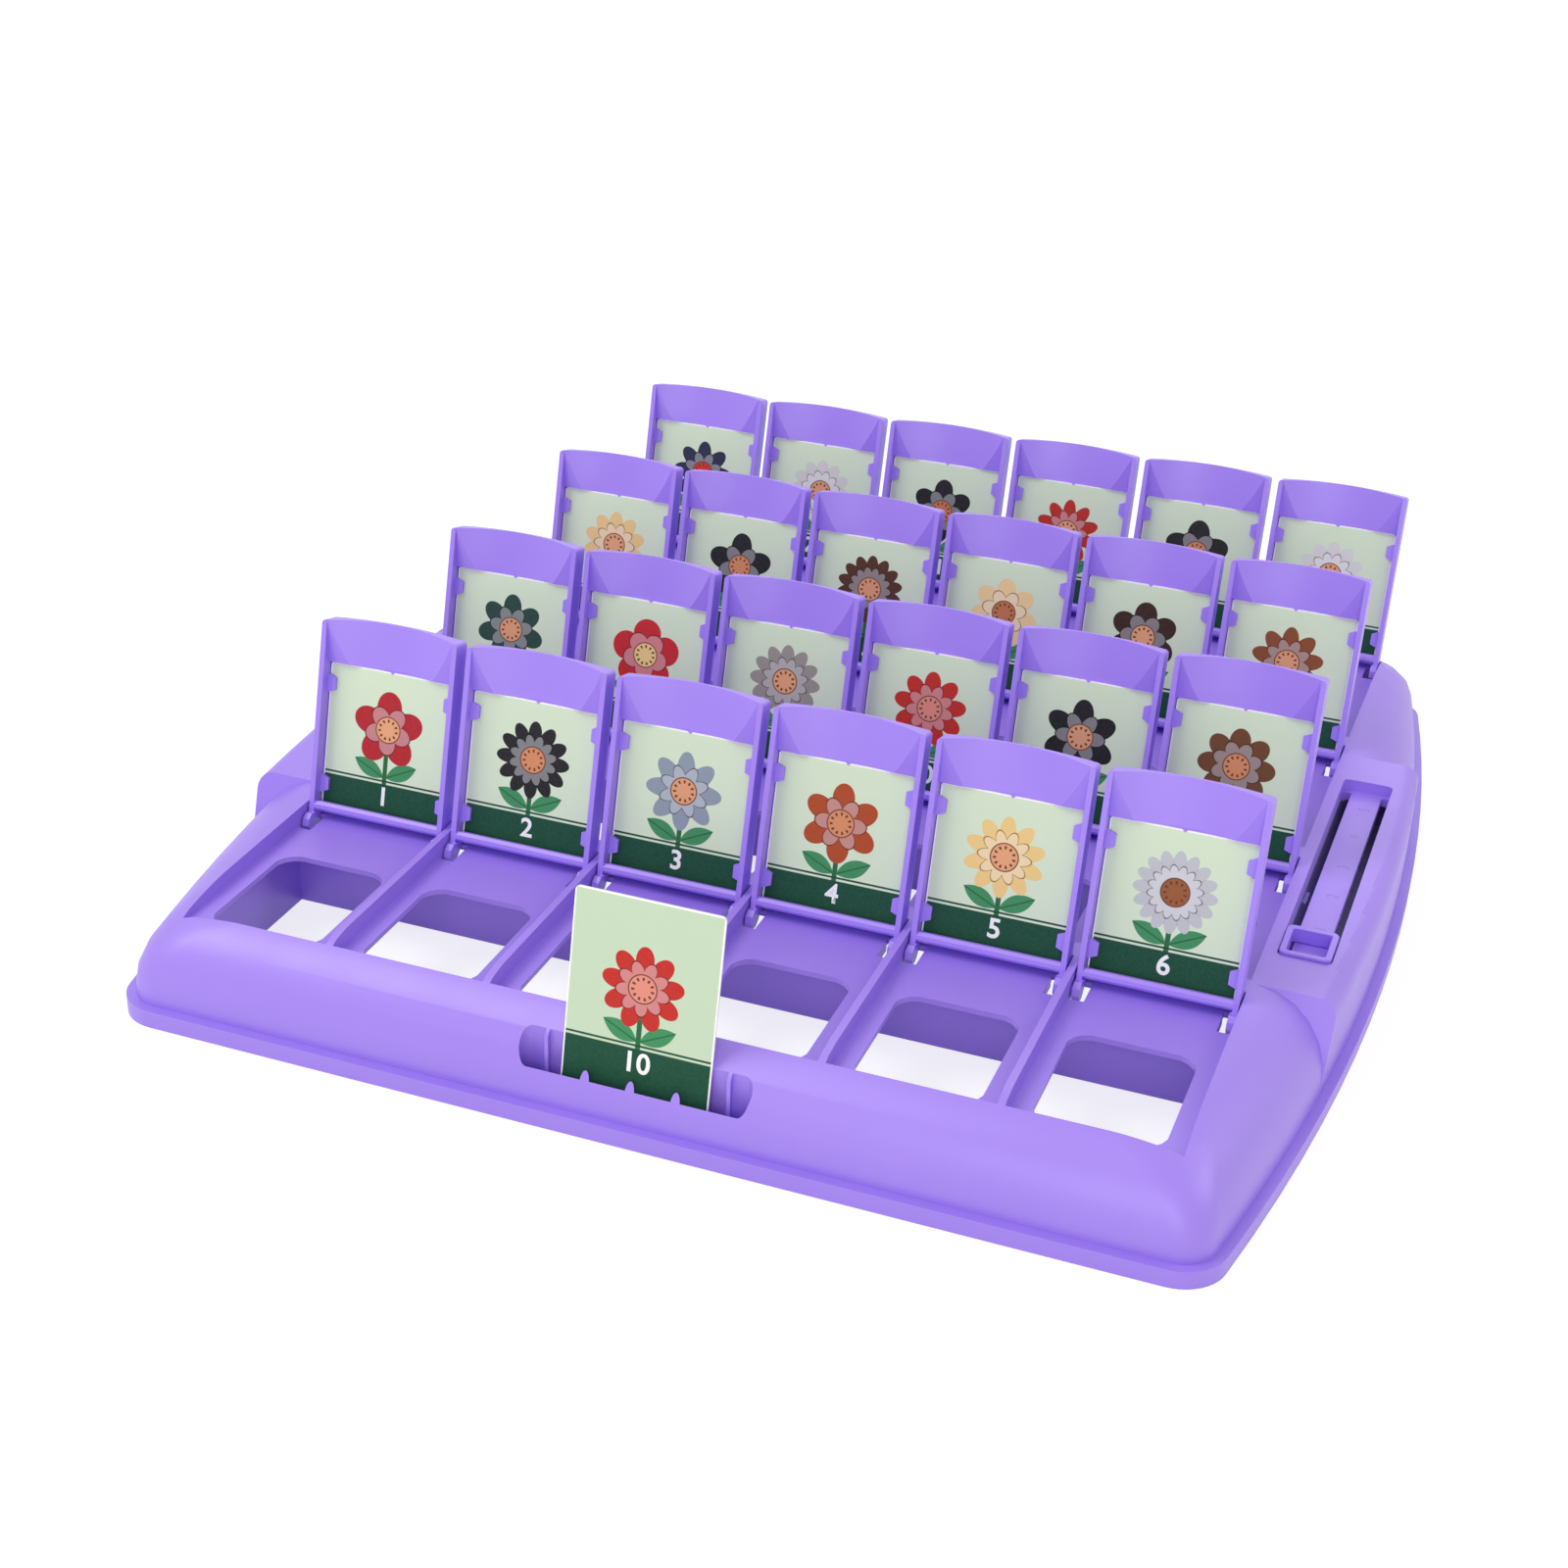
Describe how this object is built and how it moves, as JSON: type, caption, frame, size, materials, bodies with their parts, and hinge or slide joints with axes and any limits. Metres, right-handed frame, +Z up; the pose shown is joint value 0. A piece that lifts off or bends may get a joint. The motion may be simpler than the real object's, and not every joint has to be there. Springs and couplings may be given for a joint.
{
  "type": "face guessing flip game",
  "caption": "Tabletop guessing game: moulded board with rows of hinged flip frames that hold picture cards, a slot for a mystery card and a sliding score marker.",
  "frame": {"origin": "on the table under the middle of the board", "axes": "+X to the player's right, +Y from the player's edge to the back, +Z up"},
  "size_m": [0.2608, 0.2672, 0.0641],
  "materials": {
    "board_plastic": "satin violet moulded plastic",
    "frame_plastic": "satin violet moulded plastic",
    "marker_plastic": "satin violet moulded plastic",
    "card_board": "coated card, printed",
    "mystery_card": "coated card, printed"
  },
  "bodies": {
    "board": {"board": "board_plastic"},
    "mystery_card": {"mystery_card": "mystery_card"},
    "score_marker": {"score_marker": "marker_plastic"},
    "flip_r1_c1": {"frame_r1_c1": "frame_plastic", "card_r1_c1": "card_board"},
    "flip_r1_c2": {"frame_r1_c2": "frame_plastic", "card_r1_c2": "card_board"},
    "flip_r1_c3": {"frame_r1_c3": "frame_plastic", "card_r1_c3": "card_board"},
    "flip_r1_c4": {"frame_r1_c4": "frame_plastic", "card_r1_c4": "card_board"},
    "flip_r1_c5": {"frame_r1_c5": "frame_plastic", "card_r1_c5": "card_board"},
    "flip_r1_c6": {"frame_r1_c6": "frame_plastic", "card_r1_c6": "card_board"},
    "flip_r2_c1": {"frame_r2_c1": "frame_plastic", "card_r2_c1": "card_board"},
    "flip_r2_c2": {"frame_r2_c2": "frame_plastic", "card_r2_c2": "card_board"},
    "flip_r2_c3": {"frame_r2_c3": "frame_plastic", "card_r2_c3": "card_board"},
    "flip_r2_c4": {"frame_r2_c4": "frame_plastic", "card_r2_c4": "card_board"},
    "flip_r2_c5": {"frame_r2_c5": "frame_plastic", "card_r2_c5": "card_board"},
    "flip_r2_c6": {"frame_r2_c6": "frame_plastic", "card_r2_c6": "card_board"},
    "flip_r3_c1": {"frame_r3_c1": "frame_plastic", "card_r3_c1": "card_board"},
    "flip_r3_c2": {"frame_r3_c2": "frame_plastic", "card_r3_c2": "card_board"},
    "flip_r3_c3": {"frame_r3_c3": "frame_plastic", "card_r3_c3": "card_board"},
    "flip_r3_c4": {"frame_r3_c4": "frame_plastic", "card_r3_c4": "card_board"},
    "flip_r3_c5": {"frame_r3_c5": "frame_plastic", "card_r3_c5": "card_board"},
    "flip_r3_c6": {"frame_r3_c6": "frame_plastic", "card_r3_c6": "card_board"},
    "flip_r4_c1": {"frame_r4_c1": "frame_plastic", "card_r4_c1": "card_board"},
    "flip_r4_c2": {"frame_r4_c2": "frame_plastic", "card_r4_c2": "card_board"},
    "flip_r4_c3": {"frame_r4_c3": "frame_plastic", "card_r4_c3": "card_board"},
    "flip_r4_c4": {"frame_r4_c4": "frame_plastic", "card_r4_c4": "card_board"},
    "flip_r4_c5": {"frame_r4_c5": "frame_plastic", "card_r4_c5": "card_board"},
    "flip_r4_c6": {"frame_r4_c6": "frame_plastic", "card_r4_c6": "card_board"}
  },
  "joints": [
    {"name": "hinge_r1_c1", "type": "hinge", "parent": "board", "child": "flip_r1_c1", "pos_m": [-0.09, -0.0705, 0.0189], "axis": [1, 0, 0], "range_deg": [0, 104]},
    {"name": "hinge_r1_c2", "type": "hinge", "parent": "board", "child": "flip_r1_c2", "pos_m": [-0.054, -0.0705, 0.0189], "axis": [1, 0, 0], "range_deg": [0, 104]},
    {"name": "hinge_r1_c3", "type": "hinge", "parent": "board", "child": "flip_r1_c3", "pos_m": [-0.018, -0.0705, 0.0189], "axis": [1, 0, 0], "range_deg": [0, 104]},
    {"name": "hinge_r1_c4", "type": "hinge", "parent": "board", "child": "flip_r1_c4", "pos_m": [0.018, -0.0705, 0.0189], "axis": [1, 0, 0], "range_deg": [0, 104]},
    {"name": "hinge_r1_c5", "type": "hinge", "parent": "board", "child": "flip_r1_c5", "pos_m": [0.054, -0.0705, 0.0189], "axis": [1, 0, 0], "range_deg": [0, 104]},
    {"name": "hinge_r1_c6", "type": "hinge", "parent": "board", "child": "flip_r1_c6", "pos_m": [0.09, -0.0705, 0.0189], "axis": [1, 0, 0], "range_deg": [0, 104]},
    {"name": "hinge_r2_c1", "type": "hinge", "parent": "board", "child": "flip_r2_c1", "pos_m": [-0.09, -0.009, 0.0189], "axis": [1, 0, 0], "range_deg": [0, 104]},
    {"name": "hinge_r2_c2", "type": "hinge", "parent": "board", "child": "flip_r2_c2", "pos_m": [-0.054, -0.009, 0.0189], "axis": [1, 0, 0], "range_deg": [0, 104]},
    {"name": "hinge_r2_c3", "type": "hinge", "parent": "board", "child": "flip_r2_c3", "pos_m": [-0.018, -0.009, 0.0189], "axis": [1, 0, 0], "range_deg": [0, 104]},
    {"name": "hinge_r2_c4", "type": "hinge", "parent": "board", "child": "flip_r2_c4", "pos_m": [0.018, -0.009, 0.0189], "axis": [1, 0, 0], "range_deg": [0, 104]},
    {"name": "hinge_r2_c5", "type": "hinge", "parent": "board", "child": "flip_r2_c5", "pos_m": [0.054, -0.009, 0.0189], "axis": [1, 0, 0], "range_deg": [0, 104]},
    {"name": "hinge_r2_c6", "type": "hinge", "parent": "board", "child": "flip_r2_c6", "pos_m": [0.09, -0.009, 0.0189], "axis": [1, 0, 0], "range_deg": [0, 104]},
    {"name": "hinge_r3_c1", "type": "hinge", "parent": "board", "child": "flip_r3_c1", "pos_m": [-0.09, 0.0525, 0.0189], "axis": [1, 0, 0], "range_deg": [0, 104]},
    {"name": "hinge_r3_c2", "type": "hinge", "parent": "board", "child": "flip_r3_c2", "pos_m": [-0.054, 0.0525, 0.0189], "axis": [1, 0, 0], "range_deg": [0, 104]},
    {"name": "hinge_r3_c3", "type": "hinge", "parent": "board", "child": "flip_r3_c3", "pos_m": [-0.018, 0.0525, 0.0189], "axis": [1, 0, 0], "range_deg": [0, 104]},
    {"name": "hinge_r3_c4", "type": "hinge", "parent": "board", "child": "flip_r3_c4", "pos_m": [0.018, 0.0525, 0.0189], "axis": [1, 0, 0], "range_deg": [0, 104]},
    {"name": "hinge_r3_c5", "type": "hinge", "parent": "board", "child": "flip_r3_c5", "pos_m": [0.054, 0.0525, 0.0189], "axis": [1, 0, 0], "range_deg": [0, 104]},
    {"name": "hinge_r3_c6", "type": "hinge", "parent": "board", "child": "flip_r3_c6", "pos_m": [0.09, 0.0525, 0.0189], "axis": [1, 0, 0], "range_deg": [0, 104]},
    {"name": "hinge_r4_c1", "type": "hinge", "parent": "board", "child": "flip_r4_c1", "pos_m": [-0.09, 0.114, 0.0189], "axis": [1, 0, 0], "range_deg": [0, 104]},
    {"name": "hinge_r4_c2", "type": "hinge", "parent": "board", "child": "flip_r4_c2", "pos_m": [-0.054, 0.114, 0.0189], "axis": [1, 0, 0], "range_deg": [0, 104]},
    {"name": "hinge_r4_c3", "type": "hinge", "parent": "board", "child": "flip_r4_c3", "pos_m": [-0.018, 0.114, 0.0189], "axis": [1, 0, 0], "range_deg": [0, 104]},
    {"name": "hinge_r4_c4", "type": "hinge", "parent": "board", "child": "flip_r4_c4", "pos_m": [0.018, 0.114, 0.0189], "axis": [1, 0, 0], "range_deg": [0, 104]},
    {"name": "hinge_r4_c5", "type": "hinge", "parent": "board", "child": "flip_r4_c5", "pos_m": [0.054, 0.114, 0.0189], "axis": [1, 0, 0], "range_deg": [0, 104]},
    {"name": "hinge_r4_c6", "type": "hinge", "parent": "board", "child": "flip_r4_c6", "pos_m": [0.09, 0.114, 0.0189], "axis": [1, 0, 0], "range_deg": [0, 104]},
    {"name": "mystery_card_lift", "type": "slide", "parent": "board", "child": "mystery_card", "axis": [0, 0.1958, 0.9806], "range_m": [0, 0.03]},
    {"name": "score_slide", "type": "slide", "parent": "board", "child": "score_marker", "axis": [0, 1, 0], "range_m": [0, 0.0747]}
  ]
}
